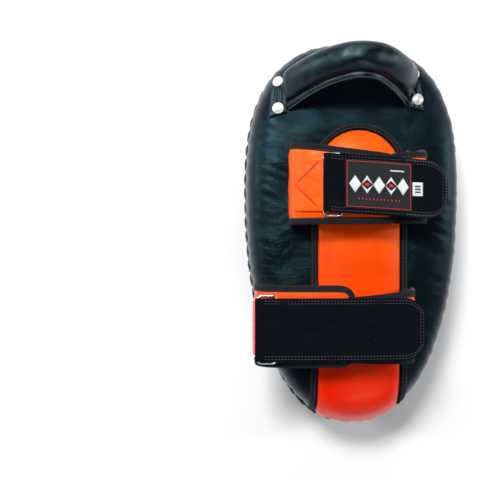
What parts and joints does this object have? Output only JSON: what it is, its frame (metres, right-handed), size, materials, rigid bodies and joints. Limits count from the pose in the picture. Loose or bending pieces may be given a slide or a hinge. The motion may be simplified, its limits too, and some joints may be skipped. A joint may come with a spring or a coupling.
{
  "type": "thai pad",
  "caption": "Thick egg-shaped Muay Thai pad for the forearm, with an orange arm cushion, two strap-and-ring cuffs, a riveted hand grip and a laced edge.",
  "frame": {"origin": "middle of the flat striking face, halfway along and across the pad", "axes": "+Z from the striking face to the arm side, +Y from the elbow end to the hand grip, +X across the pad towards the strap flaps"},
  "size_m": [0.2132, 0.3846, 0.1647],
  "materials": {
    "black_leather": "satin",
    "orange_leather": "satin",
    "black_tape": "matte",
    "black_webbing": "matte",
    "hook_and_loop": "matte",
    "lacing_cord": "matte",
    "foam": "matte",
    "ring_steel": "polished",
    "rivet_metal": "satin",
    "label_cloth": "matte",
    "tag_cloth": "matte"
  },
  "bodies": {
    "pad_body": {"strike_cover": "black_leather", "back_cover": "black_leather", "strike_foam": "foam", "middle_foam": "foam", "arm_foam": "foam", "edge_lacing": "lacing_cord", "arm_pad_foam": "foam", "arm_pad_cover": "orange_leather", "arm_pad_binding": "black_tape", "handle_cover": "black_leather", "handle_foam": "foam", "handle_core": "black_webbing", "handle_welt": "black_leather", "handle_tab_left": "black_leather", "handle_tab_right": "black_leather", "lower_flap_foot": "orange_leather", "rivet_left_lower": "rivet_metal", "washer_left_lower": "rivet_metal", "rivet_left_upper": "rivet_metal", "washer_left_upper": "rivet_metal", "rivet_right_lower": "rivet_metal", "washer_right_lower": "rivet_metal", "rivet_right_upper": "rivet_metal", "washer_right_upper": "rivet_metal"},
    "upper_ring_side": {"upper_ring_flap": "orange_leather", "upper_ring_flap_tape": "black_tape", "upper_keeper": "orange_leather"},
    "upper_ring_link": {"upper_ring": "ring_steel", "upper_strap_loop": "black_webbing"},
    "upper_strap_tail": {"upper_strap": "black_webbing", "upper_hook_patch": "hook_and_loop", "upper_label": "label_cloth", "upper_size_tag": "tag_cloth"},
    "upper_strap_side": {"upper_strap_flap": "orange_leather", "upper_strap_flap_tape": "black_tape", "upper_loop_patch": "hook_and_loop"},
    "lower_ring_side": {"lower_ring_flap": "orange_leather", "lower_ring_flap_tape": "black_tape", "lower_keeper": "orange_leather"},
    "lower_ring_link": {"lower_ring": "ring_steel", "lower_strap_loop": "black_webbing"},
    "lower_strap_tail": {"lower_strap": "black_webbing", "lower_hook_patch": "hook_and_loop"},
    "lower_strap_side": {"lower_strap_flap": "orange_leather", "lower_strap_flap_tape": "black_tape", "lower_loop_patch": "hook_and_loop"}
  },
  "joints": [
    {"name": "upper_ring_flap_open", "type": "hinge", "parent": "pad_body", "child": "upper_ring_side", "pos_m": [-0.054, 0.047, 0.1045], "axis": [0, -1, 0], "range_deg": [0, 40]},
    {"name": "upper_ring_swing", "type": "hinge", "parent": "upper_ring_side", "child": "upper_ring_link", "pos_m": [-0.0346, 0.0443, 0.147], "axis": [0, -1, 0], "range_deg": [0, 24]},
    {"name": "upper_strap_peel", "type": "hinge", "parent": "upper_ring_link", "child": "upper_strap_tail", "pos_m": [-0.0324, 0.0443, 0.1522], "axis": [0, -1, 0], "range_deg": [0, 110]},
    {"name": "upper_strap_flap_open", "type": "hinge", "parent": "pad_body", "child": "upper_strap_side", "pos_m": [0.055, 0.046, 0.1045], "axis": [0, 1, 0], "range_deg": [0, 35]},
    {"name": "lower_ring_flap_open", "type": "hinge", "parent": "pad_body", "child": "lower_ring_side", "pos_m": [-0.086, -0.087, 0.102], "axis": [0, -1, 0], "range_deg": [0, 40]},
    {"name": "lower_ring_swing", "type": "hinge", "parent": "lower_ring_side", "child": "lower_ring_link", "pos_m": [-0.0954, -0.089, 0.147], "axis": [0, -1, 0], "range_deg": [0, 24]},
    {"name": "lower_strap_peel", "type": "hinge", "parent": "lower_ring_link", "child": "lower_strap_tail", "pos_m": [-0.0932, -0.089, 0.1522], "axis": [0, -1, 0], "range_deg": [0, 110]},
    {"name": "lower_strap_flap_open", "type": "hinge", "parent": "pad_body", "child": "lower_strap_side", "pos_m": [0.0488, -0.087, 0.1105], "axis": [0, 1, 0], "range_deg": [0, 35]}
  ],
  "couplings": [
    {"joint": "upper_ring_flap_open", "follows": "upper_strap_peel", "ratio": 0.35},
    {"joint": "upper_ring_swing", "follows": "upper_strap_peel", "ratio": 0.2},
    {"joint": "upper_strap_flap_open", "follows": "upper_strap_peel", "ratio": 0.3},
    {"joint": "lower_ring_flap_open", "follows": "lower_strap_peel", "ratio": 0.35},
    {"joint": "lower_ring_swing", "follows": "lower_strap_peel", "ratio": 0.2},
    {"joint": "lower_strap_flap_open", "follows": "lower_strap_peel", "ratio": 0.3}
  ]
}
